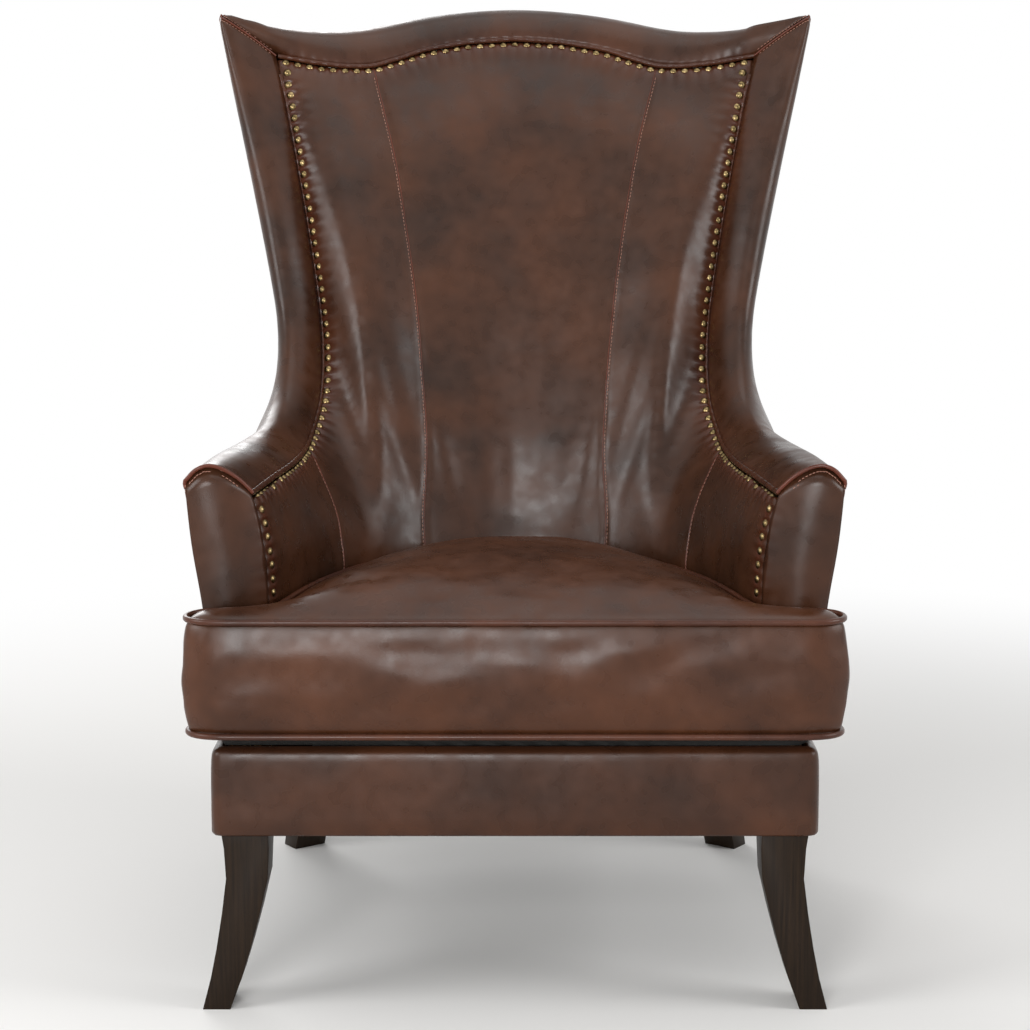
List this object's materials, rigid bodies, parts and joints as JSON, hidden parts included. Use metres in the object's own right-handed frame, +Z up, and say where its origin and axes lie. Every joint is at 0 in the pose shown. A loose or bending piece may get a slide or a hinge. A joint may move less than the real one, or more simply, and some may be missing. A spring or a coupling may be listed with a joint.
{
  "type": "wingback armchair",
  "caption": "Upholstered wingback armchair with a barrel back, nailed leather edge bands, a loose T-shaped seat cushion and sabre legs.",
  "frame": {"origin": "on the floor, under the middle of the chair's plan", "axes": "+Z up, +Y towards the back of the chair, +X to the right of someone who faces its front"},
  "size_m": [0.771, 0.842, 1.13],
  "materials": {
    "leather": "glossy",
    "welt_leather": "satin",
    "leg_wood": "satin",
    "frame_wood": "bare",
    "brass": "antique",
    "steel": "plain",
    "black_cloth": "matte",
    "jute": "matte"
  },
  "bodies": {
    "chair": {"outside_back": "leather", "right_outside_arm": "leather", "left_outside_arm": "leather", "back_rail": "frame_wood", "top_rail": "frame_wood", "right_side_rail": "frame_wood", "left_side_rail": "frame_wood", "right_back_post": "frame_wood", "left_back_post": "frame_wood", "right_wing_rail": "frame_wood", "left_wing_rail": "frame_wood", "right_arm_rail": "frame_wood", "left_arm_rail": "frame_wood", "right_arm_post": "frame_wood", "left_arm_post": "frame_wood", "inside_back": "leather", "right_inside_wing": "leather", "left_inside_wing": "leather", "right_inside_arm": "leather", "left_inside_arm": "leather", "back_webbing": "jute", "right_inner_back_post": "frame_wood", "left_inner_back_post": "frame_wood", "top_band": "leather", "right_side_band": "leather", "left_side_band": "leather", "right_arm_front": "leather", "left_arm_front": "leather", "outer_back_nails": "brass", "inner_back_nails": "brass", "right_outer_nails": "brass", "left_outer_nails": "brass", "right_inner_nails": "brass", "left_inner_nails": "brass", "seat_deck": "black_cloth", "front_rail": "frame_wood", "front_rail_cover": "leather", "seat_back_rail": "frame_wood", "seat_springs": "steel", "front_clip_strip": "steel", "rear_clip_strip": "steel", "right_front_leg": "leg_wood", "left_front_leg": "leg_wood", "right_front_block": "frame_wood", "left_front_block": "frame_wood", "right_front_bolt": "steel", "left_front_bolt": "steel", "right_rear_leg": "leg_wood", "left_rear_leg": "leg_wood", "right_rear_block": "frame_wood", "left_rear_block": "frame_wood", "right_rear_bolt": "steel", "left_rear_bolt": "steel", "dust_cover": "black_cloth"},
    "cushion": {"seat_cushion": "leather", "cushion_bottom_welt": "welt_leather", "cushion_top_welt": "welt_leather", "cushion_zip": "black_cloth"},
    "zip_pull": {"zip_slider": "brass"}
  },
  "joints": [
    {"name": "cushion_lift", "type": "slide", "parent": "chair", "child": "cushion", "axis": [0, 0, 1], "range_m": [0, 0.35]},
    {"name": "zip_travel", "type": "hinge", "parent": "cushion", "child": "zip_pull", "pos_m": [0, -0.166, 0.369], "axis": [0, 0, -1], "range_deg": [0, 72]}
  ]
}
